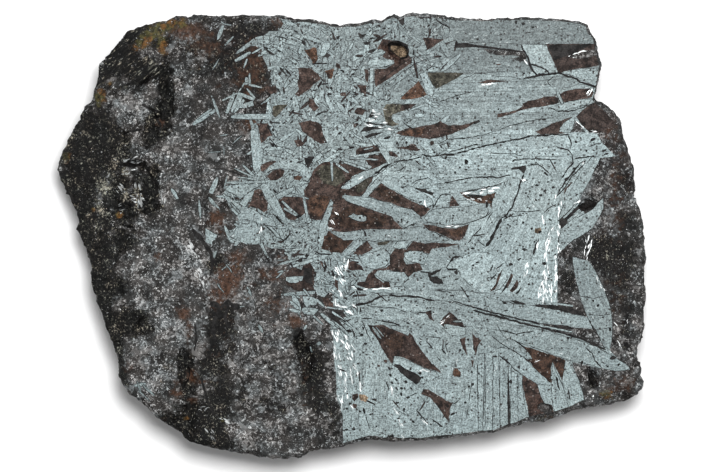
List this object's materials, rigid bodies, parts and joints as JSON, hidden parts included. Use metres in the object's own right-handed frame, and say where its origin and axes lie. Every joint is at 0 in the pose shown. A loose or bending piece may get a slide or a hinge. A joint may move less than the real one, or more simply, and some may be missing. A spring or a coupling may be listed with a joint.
{
  "type": "polished stone slab",
  "caption": "flat slab of grey bladed hematite and magnetite rock, polished on one face, with a rough natural rim and a sawn back",
  "frame": {"origin": "middle of the underside of the slab's box, on the surface it rests on", "axes": "+X along the slab's longest side, to the right when the polished face is seen from above; +Y to its upper edge; +Z out of the polished face, along the thickness"},
  "size_m": [0.1476, 0.1116, 0.016],
  "materials": {
    "rock": "polished face with cool blue-grey metallic blades in dark brown and black granular rock, rough rim and sides, matt sawn back"
  },
  "bodies": {
    "root": {"slab": "rock"}
  },
  "joints": []
}
